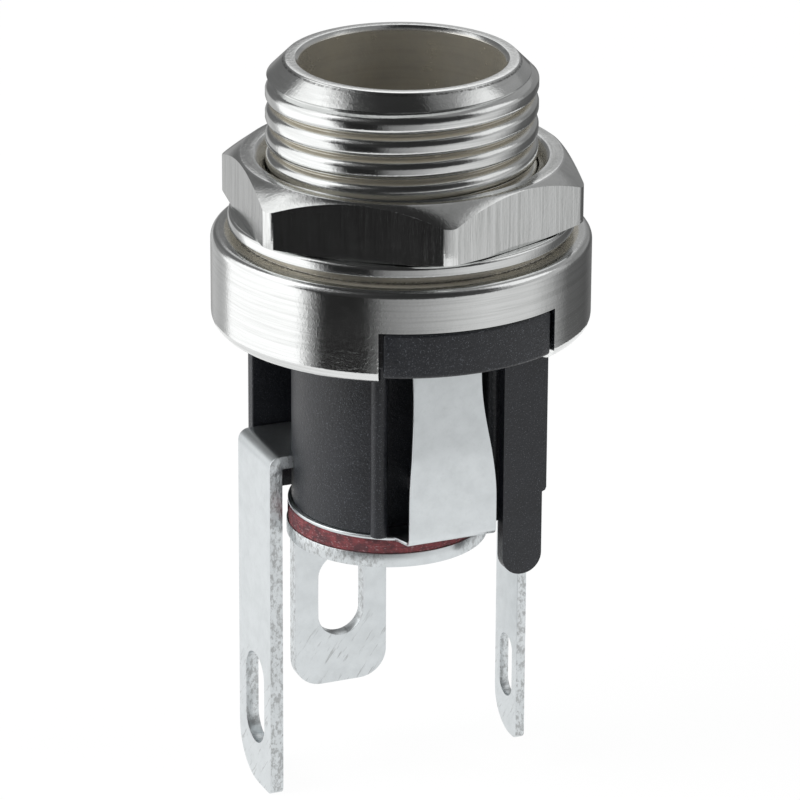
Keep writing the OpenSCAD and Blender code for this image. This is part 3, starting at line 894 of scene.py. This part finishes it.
@dataclass
class Insulator:
    """The black moulding: disc and key in the skirt, core with its window, vane and tongue."""

    core_r: float = 4.8
    core_z: float = -12.9
    skirt_z: float = -4.56
    disc_z: float = -4.06
    web_z: float = -1.21
    disc_r: float = 7.598
    socket_r: float = 3.1
    socket_z: float = -6.8
    window_w: float = 4.8
    window_y: float = -3.3
    bead_r: float = 0.38
    key_r: float = 8.248
    key_angle: float = 56.6
    key_low: float = -4.28
    key_high: float = -2.26
    slot_w: float = 3.7

    def core(self) -> bpy.types.Object:
        """Builds the core with its window, socket and leaf slot.

        Returns:
            The core.
        """
        core = Bench.turned("insulator", softened([
            (self.core_r - 1, self.core_z), (self.core_r, self.core_z, 0.08),
            (self.core_r, self.web_z - 0.02)], 3, closed=False), 128, capped=True)
        half = self.window_w / 2
        low, high = (-half, -6, self.core_z - 1), (half, self.window_y, self.skirt_z)
        Bench.cut(core, Bench.block("window", low, high))
        bore = [(self.socket_r, self.socket_z), (self.socket_r, 0)]
        Bench.cut(core, Bench.turned("socket", bore, 96, True))
        slot = self.slot_w / 2
        Bench.cut(core, Bench.block("leaf_slot", (-slot, -5.8, self.skirt_z - 0.01), (slot, -1, 0)))
        Bench.round_edges(core, 0.05, 2, 40.0)
        return core

    def disc(self) -> bpy.types.Object:
        """Builds the disc that the skirt holds.

        Returns:
            The disc.
        """
        disc = Bench.turned("disc", softened([
            (self.core_r - 0.3, self.web_z), (self.core_r - 0.3, self.disc_z),
            (self.disc_r, self.disc_z, 0.05), (self.disc_r, self.web_z, 0.05)]), 144)
        slot = self.slot_w / 2
        Bench.cut(disc, Bench.block("leaf_slot", (-slot, -5.8, self.skirt_z - 1), (slot, -1, 0)))
        return disc

    def bead(self, side: int) -> bpy.types.Object:
        """Builds one of the round beads along the window's edges.

        Args:
            side: -1 for the left one, 1 for the right one.

        Returns:
            The bead.
        """
        bead = Bench.turned("bead", softened([
            (0.1, self.core_z), (self.bead_r, self.core_z, 0.06),
            (self.bead_r, self.disc_z + 0.1)], 3, closed=False), 32, capped=True)
        x = self.window_w / 2 + self.bead_r - 0.08
        bead.location = (side * x, -(math.sqrt(self.core_r ** 2 - x * x) + 0.1), 0)
        Bench.only(bead)
        bpy.ops.object.transform_apply(location=True, rotation=True, scale=True)
        return bead

    def tongue(self) -> bpy.types.Object:
        """Builds the tongue at the front right, with its shoulder and round end.

        Returns:
            The tongue.
        """
        front, back, end = -5.4, -4.85, -15.15
        left, foot, shoulder = 2.6, 4.45, 4.65
        tongue = Bench.block("tongue", (left, front, end), (foot, back, self.disc_z + 0.15))
        with Bench.editing(tongue):
            Bench.pick(tongue, Pick.EDGES, lambda place, run: abs(run.y) > 0.4 and place.z < end + 0.01)
            bpy.ops.mesh.bevel(offset=0.9, segments=10, affect="EDGES")
        step = Bench.block("step", (left, front, -11.4), (shoulder, back, self.disc_z + 0.15))
        with Bench.editing(step):
            Bench.pick(step, Pick.EDGES,
                       lambda place, run: abs(run.y) > 0.4 and place.z < -11 and place.x > 4)
            bpy.ops.mesh.bevel(offset=0.19, segments=2, affect="EDGES")
        Bench.cut(tongue, step, "UNION")
        Bench.round_edges(tongue, 0.07, 3, 40.0)
        return tongue

    def vane(self) -> bpy.types.Object:
        """Builds the flat vane behind the long lug.

        Returns:
            The vane.
        """
        vane = Bench.block("vane", (-5.1, 4.85, -13.8), (-2.75, 5.4, self.disc_z + 0.15))
        Bench.round_edges(vane, 0.07, 3, 40.0)
        return vane

    def key(self) -> bpy.types.Object:
        """Builds the key that fills the skirt's notch.

        Returns:
            The key.
        """
        key = Bench.wedge("key", (self.core_r - 0.9, self.key_r), (self.key_low, self.key_high),
                          self.key_angle)
        Bench.round_edges(key, 0.2, 4, 50.0)
        return key

    def make(self, material: bpy.types.Material) -> None:
        """Builds and places the moulding."""
        piece = Bench.join([self.core(), self.disc(), self.key(), self.bead(-1), self.bead(1),
                            self.tongue(), self.vane()])
        Bench.finish(piece, Body.JACK, ["insulator"], Slot.PLASTIC, material, 35.0)


@dataclass
class Tab:
    """A flat solder tab that hangs from z = 0: width along Y, thickness along +X.

    Its tip has one rounding on the -Y side and another on the +Y side.
    """

    width: float
    thickness: float
    length: float
    near_r: float
    far_r: float
    slot_w: float
    slot_l: float
    slot_mid: float

    def blank(self, name: str) -> bpy.types.Object:
        """Builds the tab without its slot.

        Args:
            name: the piece's name.

        Returns:
            The tab.
        """
        half = self.width / 2
        tab = Bench.block(name, (0, -half, -self.length), (self.thickness, half, 0))
        with Bench.editing(tab):
            for side, rounding in ((-1, self.near_r), (1, self.far_r)):
                Bench.pick(tab, Pick.EDGES, lambda place, run: abs(run.x) > 0.05
                           and place.z < 0.01 - self.length and abs(place.y - side * half) < 0.01)
                bpy.ops.mesh.bevel(offset=rounding, segments=10, affect="EDGES")
        return tab

    def slotted(self, tab: bpy.types.Object) -> None:
        """Punches the round-ended slot."""
        reach = (self.slot_l - self.slot_w) / 2
        tool = Bench.start("punch", bpy.ops.mesh.primitive_cylinder_add, vertices=48, radius=self.slot_w / 2,
                           depth=4, rotation=(0, math.pi / 2, 0), location=(0, 0, -self.slot_mid))
        bpy.ops.object.transform_apply(location=True, rotation=True, scale=True)
        with Bench.editing(tool):
            for side in (-1, 1):
                Bench.pick(tool, Pick.CORNERS,
                           lambda place, normal: (place.z + self.slot_mid) * side > 0.001)
                bpy.ops.transform.translate(value=(0, 0, side * reach))
        Bench.cut(tab, tool)


def bend_over(piece: bpy.types.Object, inner: float, run: float) -> None:
    """Bends the sheet's top end over towards -X and carries it on.

    Args:
        piece: the tab, whose top face is at z = 0.
        inner: the bend's inner radius.
        run: how far the sheet goes on past the bend.
    """
    with Bench.editing(piece):
        Bench.pick(piece, Pick.FACES, lambda place, normal: normal.z > 0.9 and place.z > -0.01)
        bpy.ops.mesh.spin(steps=7, angle=-math.pi / 2, center=(-inner, 0, 0), axis=(0, 1, 0))
        bpy.ops.mesh.extrude_region_move(TRANSFORM_OT_translate={"value": (-run, 0, 0)})
        bpy.ops.mesh.select_all(action="SELECT")
        bpy.ops.mesh.remove_doubles(threshold=1e-4)
        bpy.ops.mesh.select_all(action="DESELECT")
        bpy.ops.mesh.select_interior_faces()
        bpy.ops.mesh.delete(type="FACE")
        bpy.ops.mesh.select_all(action="SELECT")
        bpy.ops.mesh.normals_make_consistent(inside=False)


def moved(piece: bpy.types.Object, to: Point3, turn: float = 0.0) -> bpy.types.Object:
    """Turns a piece about Z and puts it in its place.

    Args:
        piece: the piece.
        to: where its origin goes.
        turn: degrees about Z.

    Returns:
        The piece.
    """
    piece.location = to
    piece.rotation_euler.z = math.radians(turn)
    Bench.only(piece)
    bpy.ops.object.transform_apply(location=True, rotation=True, scale=True)
    return piece


@dataclass
class BreakTerminal:
    """The long lug on the left and the leg that carries it into the core."""

    inner_x: float = -5.22
    sheet: float = 0.62
    front_y: float = 0.9
    width: float = 3.85
    top_z: float = -10.65
    tip_z: float = -27.05

    def make(self, material: bpy.types.Material) -> None:
        """Builds and places the terminal."""
        drop = 0.9
        tab = Tab(self.width, self.sheet, self.top_z - drop - self.tip_z, 2.2, 0.35, 2.2, 4.35, 0.0)
        tab.slot_mid = tab.length - 4.1
        lug = tab.blank("break_terminal")
        with Bench.editing(lug):
            Bench.pick(lug, Pick.FACES, lambda place, normal: normal.z > 0.9 and place.z > -0.01)
            bpy.ops.mesh.extrude_region_move(TRANSFORM_OT_translate={"value": (0, 0, drop - self.sheet)})
            bpy.ops.mesh.extrude_region_move(TRANSFORM_OT_translate={"value": (0, 0, self.sheet)})
            Bench.pick(lug, Pick.FACES, lambda place, normal: normal.x < -0.9 and place.z > drop - self.sheet)
            bpy.ops.mesh.extrude_region_move(TRANSFORM_OT_translate={"value": (-1.9, 0, 0)})
            Bench.pick(lug, Pick.EDGES, lambda place, run: abs(run.y) > 3 and place.z > drop - 0.01
                       and place.x > self.sheet - 0.01)
            bpy.ops.mesh.bevel(offset=0.5, segments=5, affect="EDGES")
        tab.slotted(lug)
        Bench.round_edges(lug, 0.05, 2, 35.0)
        middle = self.front_y + self.width / 2
        moved(lug, (self.inner_x, middle, self.top_z - drop), 180.0)
        finger = Bench.block("finger", (-1.0, -5.35, -11.27), (1.0, -3.2, -10.65))
        Bench.round_edges(finger, 0.05, 2, 35.0)
        piece = Bench.join([lug, finger])
        Bench.finish(piece, Body.JACK, ["break_terminal"], Slot.TIN, material, 30.0)


@dataclass
class CentreTerminal:
    """The eyelet under the fibre washer and its bent lug."""

    shift: float = 0.62
    disc_r: float = 4.45
    sheet: float = 0.65
    top_z: float = -13.79
    hole_r: float = 1.07
    lug_x: float = -0.72
    lug_y: float = 5.1
    width: float = 4.5
    tip_z: float = -24.0
    bend_in: float = 0.3

    def make(self, material: bpy.types.Material) -> None:
        """Builds and places the terminal."""
        low = self.top_z - self.sheet
        root = low - self.bend_in
        tab = Tab(self.width, self.sheet, root - self.tip_z, 1.3, 1.3, 2.2, 4.0, 0.0)
        tab.slot_mid = tab.length - 4.35
        lug = tab.blank("centre_terminal")
        bend_over(lug, self.bend_in, 2.2)
        tab.slotted(lug)
        moved(lug, (self.lug_x, self.lug_y, root), 90.0)
        disc = Bench.turned("eyelet", [(self.disc_r, low), (self.disc_r, self.top_z)], 144, True)
        moved(disc, (-self.shift, 0, 0))
        Bench.cut(lug, disc, "UNION")
        hole = Bench.turned("hole", [(self.hole_r, low - 1), (self.hole_r, self.top_z + 1)], 64, True)
        Bench.cut(lug, hole)
        Bench.round_edges(lug, 0.05, 2, 35.0)
        Bench.finish(lug, Body.JACK, ["centre_terminal"], Slot.TIN, material, 30.0)


@dataclass
class SleeveSpring:
    """The thin base disc, the leaf in the window and the folded lug on the right."""

    disc_r: float = 4.875
    shift: float = 0.1
    hole_r: float = 2.12
    base_z: float = -13.07
    sheet: float = 0.17
    leaf_y: float = -5.45
    foot_w: float = 4.1
    top_w: float = 3.2
    offset: float = 0.18
    lean: float = 0.36
    lug_in: float = 5.25
    lug_t: float = 0.44
    lug_w: float = 2.36
    tip_z: float = -25.3

    def leaf(self) -> bpy.types.Object:
        """Builds the leaf from its foot on the disc up to its flared tip.

        Returns:
            The leaf.
        """
        middle = self.base_z + self.sheet / 2
        foot, top = self.foot_w / 2, self.top_w / 2
        path = [(-4.1, middle, foot + 0.35, self.offset),
                (self.leaf_y + 0.32, middle, foot + 0.02, self.offset)]
        for step in range(1, 6):
            a = math.radians(18 * step)
            path.append((self.leaf_y + 0.3 - 0.3 * math.sin(a), middle + 0.3 - 0.3 * math.cos(a),
                         foot, self.offset))
        for step in range(15):
            z = -11.3 + 0.386 * step
            left_to_go = 1 - step / 14
            grow = left_to_go * left_to_go * (3 - 2 * left_to_go)
            lean = self.lean * max(z + 9.0, 0) / 4.09
            path.append((self.leaf_y + lean, z, top + (foot - top) * grow, self.offset * grow))
        path += [(self.leaf_y + self.lean, -4.95, top, 0), (-4.9, -4.4, top, 0),
                 (-2.95, -1.05, top, 0), (-2.7, -0.75, top - 0.1, 0), (-2.6, -0.5, top - 0.2, 0),
                 (-2.65, -0.2, top - 0.3, 0), (-2.85, 0.1, top - 0.4, 0), (-3.5, 1.05, top - 0.75, 0)]
        leaf = Bench.start("leaf", bpy.ops.mesh.primitive_plane_add, size=1)
        with Bench.editing(leaf):
            Bench.pick(leaf, Pick.CORNERS, lambda place, normal: place.y > 0)
            bpy.ops.mesh.delete(type="VERT")
            bpy.ops.mesh.select_all(action="SELECT")
            y, z, half, x = path[0]
            bpy.ops.transform.resize(value=(2 * half, 1, 1), center_override=(0, 0, 0))
            bpy.ops.transform.translate(value=(x, y + 0.5, z))
            for new_y, new_z, new_half, new_x in path[1:]:
                bpy.ops.mesh.extrude_region_move(
                    TRANSFORM_OT_translate={"value": (new_x - x, new_y - y, new_z - z)})
                bpy.ops.transform.resize(value=(new_half / half, 1, 1), center_override=(new_x, new_y, new_z))
                y, z, half, x = new_y, new_z, new_half, new_x
            bpy.ops.mesh.select_all(action="SELECT")
            bpy.ops.mesh.normals_make_consistent(inside=False)
        Bench.modify(leaf, "SOLIDIFY", thickness=self.sheet, offset=0.0, use_even_offset=True)
        Bench.round_edges(leaf, 0.04, 2, 50.0)
        return leaf

    def lug(self) -> bpy.types.Object:
        """Builds the lug of doubled sheet, with the strap that joins it to the disc.

        Returns:
            The lug.
        """
        top = self.base_z + self.sheet
        tab = Tab(self.lug_w, self.lug_t, top - self.tip_z, 0.3, self.lug_w - 0.6, 1.3, 3.0, 0.0)
        tab.slot_mid = tab.length - 3.25
        lug = tab.blank("lug")
        with Bench.editing(lug):
            Bench.pick(lug, Pick.EDGES, lambda place, run: abs(run.y) > 1.5 and place.z > -0.01
                       and place.x > self.lug_t - 0.01)
            bpy.ops.mesh.bevel(offset=self.lug_t * 0.8, segments=5, affect="EDGES")
        tab.slotted(lug)
        Bench.round_edges(lug, 0.05, 2, 35.0)
        moved(lug, (self.lug_in, 0, top))
        half = self.lug_w / 2
        strap = Bench.block("strap", (4.2, -half, self.base_z), (self.lug_in + 0.05, half, top))
        Bench.round_edges(strap, 0.04, 2, 35.0)
        return Bench.join([lug, strap])

    def make(self, material: bpy.types.Material) -> None:
        """Builds and places the spring."""
        top = self.base_z + self.sheet
        disc = Bench.turned("sleeve_spring", softened([
            (self.hole_r, self.base_z), (self.disc_r, self.base_z, 0.05),
            (self.disc_r, top, 0.05), (self.hole_r, top)], 3), 144)
        moved(disc, (-self.shift, 0, 0))
        piece = Bench.join([disc, self.leaf(), self.lug()])
        Bench.finish(piece, Body.JACK, ["sleeve_spring"], Slot.TIN, material, 30.0)


@dataclass
class FibreWasher:
    """The red fibre washer between the spring's disc and the eyelet."""

    shift: float = 0.62
    rim_r: float = 4.4
    hole_r: float = 1.7
    low_z: float = -13.79
    high_z: float = -13.07

    def make(self, material: bpy.types.Material) -> None:
        """Builds and places the washer."""
        piece = Bench.turned("fibre_washer", softened([
            (self.hole_r, self.low_z), (self.rim_r, self.low_z, 0.05),
            (self.rim_r, self.high_z, 0.05), (self.hole_r, self.high_z)], 3), 144)
        moved(piece, (-self.shift, 0, 0))
        Bench.finish(piece, Body.JACK, ["fibre_washer"], Slot.FIBRE, material, 35.0)


@dataclass
class CentrePin:
    """The turned pin with its collar and the head riveted under the eyelet."""

    pin_r: float = 1.05
    collar_r: float = 1.7
    head_z: float = -14.84
    eyelet_z: float = -14.44
    floor_z: float = -6.8
    tip_z: float = 3.0

    def make(self, material: bpy.types.Material) -> None:
        """Builds and places the pin."""
        piece = Bench.turned("centre_pin", softened([
            (0.15, self.head_z), (self.collar_r, self.head_z, 0.25), (self.collar_r, self.eyelet_z),
            (self.pin_r, self.eyelet_z), (self.pin_r, self.floor_z), (self.collar_r, self.floor_z),
            (self.collar_r, self.floor_z + 0.7, 0.1), (self.pin_r, self.floor_z + 0.7, 0.05),
            (self.pin_r, self.tip_z, 0.4), (0.15, self.tip_z)], 6, closed=False), 72, capped=True)
        Bench.finish(piece, Body.JACK, ["centre_pin"], Slot.PIN, material, 35.0)


# ---------------------------------------------------------------------- studio


@dataclass
class Studio:
    """Floor, lamps, the dome that metal mirrors, and the camera.

    Each of the dome's rings lists degrees to the right of the camera's side and a grey level.
    """

    target_z_mm: float = -8.42
    aim_mm: float = -0.014
    distance_mm: float = 230.0
    azimuth: float = -23.0
    elevation: float = 21.38
    roll: float = 0.31
    lens_mm: float = 235.2
    floor_size_mm: float = 4000.0
    floor_gap_mm: float = 0.02
    dome_mm: float = 60.0
    low_ring: tuple[Point2, ...] = (
        (-180, 0.12), (-162, 0.36), (-148, 0.58), (-132, 0.50), (-124, 0.62), (-118, 1.36), (-60, 1.40),
        (-52, 0.40), (-46, 0.02), (-20, 0.02), (-8, 0.26), (12, 0.42), (35, 0.68), (50, 0.80), (80, 0.76),
        (98, 0.40), (112, 0.14), (140, 0.10), (158, 0.18), (180, 0.12))
    shelf_ring: tuple[Point2, ...] = (
        (-180, 0.45), (-172, 0.22), (-150, 0.16), (-124, 0.18), (-116, 1.20), (-66, 1.25), (-56, 0.03),
        (50, 0.05), (72, 0.55), (104, 0.55), (116, 0.25), (160, 0.30), (174, 0.50), (180, 0.45))
    middle_ring: tuple[Point2, ...] = (
        (-180, 1.20), (-160, 0.70), (-145, 0.16), (-124, 0.18), (-114, 1.30), (-72, 1.35), (-58, 0.03),
        (60, 0.03), (72, 0.95), (104, 1.05), (112, 0.35), (150, 0.40), (164, 0.95), (180, 1.20))
    top_ring: tuple[Point2, ...] = (
        (-180, 0.10), (-100, 0.03), (30, 0.03), (60, 0.25), (130, 0.30), (180, 0.10))

    def direction(self, azimuth: float, elevation: float) -> Vector:
        """Points from the axis towards an azimuth and elevation."""
        a, e = math.radians(azimuth), math.radians(elevation)
        return Vector((math.sin(a) * math.cos(e), -math.cos(a) * math.cos(e), math.sin(e)))

    def camera(self) -> None:
        """Sets the camera at its fitted place."""
        back = self.direction(self.azimuth, self.elevation)
        right = Vector((-back.y, back.x, 0.0)).normalized()
        target = Vector((0.0, 0.0, self.target_z_mm)) + right * self.aim_mm
        data = bpy.data.cameras.new("camera")
        data.sensor_width = 36.0
        data.lens = self.lens_mm
        data.clip_start, data.clip_end = 0.01, 20.0
        camera = bpy.data.objects.new("camera", data)
        bpy.context.scene.collection.objects.link(camera)
        camera.rotation_mode = "QUATERNION"
        camera.location = (target + back * self.distance_mm) * MM
        level = (-back).to_track_quat("-Z", "Y")
        turn = Matrix.Rotation(math.radians(self.roll), 4, back).to_quaternion()
        camera.rotation_quaternion = turn @ level
        bpy.context.scene.camera = camera

    def floor(self, low_mm: float) -> None:
        """Lays the pale floor under the object.

        Args:
            low_mm: the object's lowest point.
        """
        bpy.ops.mesh.primitive_plane_add(
            size=self.floor_size_mm * MM, location=(0, 0, (low_mm - self.floor_gap_mm) * MM))
        floor = bpy.context.object
        floor.name = "floor"
        shader = Shader("studio floor")
        plain = shader.add("ShaderNodeBsdfDiffuse", {}, {"Color": (0.9, 0.9, 0.9, 1.0)})
        white = shader.add("ShaderNodeEmission", {}, {"Color": (1, 1, 1, 1), "Strength": 1.03})
        paths = shader.add("ShaderNodeLightPath", output="Is Camera Ray")
        glossy = shader.add("ShaderNodeLightPath", output="Is Glossy Ray")
        through = shader.add("ShaderNodeLightPath", output="Is Transmission Ray")
        share = (paths + glossy + through).above(0.5, 0.1) * 0.92
        mixed = shader.add("ShaderNodeMixShader", {}, {0: share, 1: plain, 2: white})
        shader.tree.links.new(mixed.link, shader.output.inputs["Surface"])
        floor.data.materials.append(shader.material)

    def world(self) -> None:
        """Lights the object from all round, and shows white behind it."""
        world = bpy.data.worlds.new("studio")
        bpy.context.scene.world = world
        world.use_nodes = True
        tree = world.node_tree
        tree.nodes.clear()
        output = tree.nodes.new("ShaderNodeOutputWorld")
        soft = tree.nodes.new("ShaderNodeBackground")
        soft.inputs["Strength"].default_value = 0.45
        white = tree.nodes.new("ShaderNodeBackground")
        white.inputs["Strength"].default_value = 1.0
        path = tree.nodes.new("ShaderNodeLightPath")
        either = None
        for name in ("Is Camera Ray", "Is Glossy Ray", "Is Transmission Ray"):
            if either is None:
                either = path.outputs[name]
                continue
            node = tree.nodes.new("ShaderNodeMath")
            node.operation = "MAXIMUM"
            tree.links.new(either, node.inputs[0])
            tree.links.new(path.outputs[name], node.inputs[1])
            either = node.outputs[0]
        mix = tree.nodes.new("ShaderNodeMixShader")
        tree.links.new(either, mix.inputs[0])
        tree.links.new(soft.outputs[0], mix.inputs[1])
        tree.links.new(white.outputs[0], mix.inputs[2])
        tree.links.new(mix.outputs[0], output.inputs["Surface"])

    def lamp(self, name: str, azimuth: float, elevation: float, distance_mm: float,
             size_mm: Point2, watts: float) -> None:
        """Hangs a soft area lamp that faces the object.

        Args:
            name: the lamp's name.
            azimuth: its place round the object.
            elevation: its height above the horizon.
            distance_mm: its distance.
            size_mm: its width and height.
            watts: its power.
        """
        data = bpy.data.lights.new(name, "AREA")
        data.shape = "RECTANGLE"
        data.size, data.size_y = size_mm[0] * MM, size_mm[1] * MM
        data.energy = watts
        lamp = bpy.data.objects.new(name, data)
        bpy.context.scene.collection.objects.link(lamp)
        back = self.direction(azimuth, elevation)
        middle = Vector((0, 0, self.target_z_mm))
        lamp.location = (middle + back * distance_mm) * MM
        lamp.rotation_mode = "QUATERNION"
        lamp.rotation_quaternion = (-back).to_track_quat("-Z", "Y")

    def surround(self) -> None:
        """Hangs a dome round the object that only reflections see.

        Upright walls mirror its lowest ring, faces that look up its shelf ring and the rim its
        middle ring behind the object. Sloping faces mirror the middle ring and the top ring.
        There are white screens at the left and behind, a dark room in front and overhead, and
        a grey one on the right.
        """
        dome = Bench.start("reflection_dome", bpy.ops.mesh.primitive_uv_sphere_add, segments=96,
                           ring_count=48, radius=self.dome_mm * MM)
        shader = Shader("reflection dome")
        x, y, z = (shader.axis(name) for name in "XYZ")
        a = math.radians(self.azimuth)
        right = x * math.cos(a) + y * math.sin(a)
        front = x * math.sin(a) - y * math.cos(a)
        # Degrees to the right of the camera's own side, as a share of a whole turn.
        turn = shader.add("ShaderNodeMath", {"operation": "ARCTAN2"}, {0: right, 1: front})
        share = turn * (0.5 / math.pi) + 0.5
        out = (right * right + front * front).function("SQRT")
        climb = shader.add("ShaderNodeMath", {"operation": "ARCTAN2"}, {0: z, 1: out}) * (180 / math.pi)
        low, shelf, middle, top = (shader.add("ShaderNodeValToRGB", {"stops": [
            ((degrees + 180) / 360, (grey, grey, grey)) for degrees, grey in ramp]}, {0: share})
            for ramp in (self.low_ring, self.shelf_ring, self.middle_ring, self.top_ring))
        level = shader.mix(climb.above(2.0, 5.0), low, shelf)
        level = shader.mix(climb.above(25.6, 1.2), level, middle)
        level = shader.mix(climb.above(57.0, 8.0), level, top)
        glow = shader.add("ShaderNodeEmission", {}, {"Color": level, "Strength": 1.0})
        shader.tree.links.new(glow.link, shader.output.inputs["Surface"])
        dome.data.materials.append(shader.material)
        dome.visible_camera = dome.visible_diffuse = dome.visible_shadow = False
        dome.visible_transmission = dome.visible_volume_scatter = False

    def build(self, low_mm: float) -> None:
        """Sets up the whole studio.

        Args:
            low_mm: the object's lowest point.
        """
        scene = bpy.context.scene
        scene.view_settings.view_transform = "Standard"
        self.camera()
        self.world()
        self.floor(low_mm)
        self.lamp("key", -95.0, 40.0, 420.0, (260.0, 260.0), 1.1)
        self.lamp("fill", 55.0, 35.0, 460.0, (300.0, 300.0), 0.7)
        self.surround()
        LOG.info("studio set")


# Hollows where plating is dull and painted shade darkens the nickel: the bore, the thread roots, the seat
# foot under the washer and the nut's thread.
BORE = Hollow((4.0, 4.52), (-8.0, 7.25))
THREAD_ROOTS = Hollow((5.3, 5.72), (0.3, 6.2))
SEAT_FOOT = Hollow((7.1, 7.7), (-0.6, 0.1))
NUT_THREAD = Hollow((5.0, 6.3), (0.0, 3.1))

BUSH_NICKEL = TurnedNickel(
    "nickel housing",
    # Painted highlights on the rim and flange roundings.
    painted_highlights=(Ring(5.0, 7.4), Ring(8.22, -0.46), Ring(8.0, -0.38)),
    # Speckled grime and painted shade in the seat corner and below the rim.
    grime_and_shade_bands=(Ring(5.12, 7.3, 0.05), Ring(7.22, -0.36, 0.08)),
    # Dull plating with painted shade in the bore, thread roots and seat foot.
    hollows=(BORE, THREAD_ROOTS, SEAT_FOOT),
)
NUT_NICKEL = TurnedNickel(
    "nickel nut", Lay.UPRIGHT, mark_mm=0.2, mark_height_mm=0.012, streaks=0.75,
    # Painted highlights on the nut's top edges.
    painted_highlights=(Ring(7.0, 3.1), Ring(6.42, 3.08)),
    hollows=(NUT_THREAD,),
)


def main() -> None:
    """Builds the studio and every piece."""
    logging.basicConfig(level=logging.INFO, format="%(message)s")
    low, high = CAD_BOX
    Studio().build(low.z / MM)
    Bush().make(BUSH_NICKEL.make())
    Nut().make(NUT_NICKEL.make())
    Washer().make(TurnedNickel("nickel washer").make())
    Insulator().make(MouldedPlastic("black moulding").make())
    BreakTerminal().make(StampedTin("tinned long lug").make())
    CentreTerminal().make(StampedTin("tinned eyelet", "Y").make())
    SleeveSpring().make(StampedTin("tinned spring").make())
    FibreWasher().make(VulcanFibre("red fibre").make())
    CentrePin().make(TurnedNickel("nickel pin").make())
    LOG.info("all pieces made")


if __name__ == "__main__":
    main()
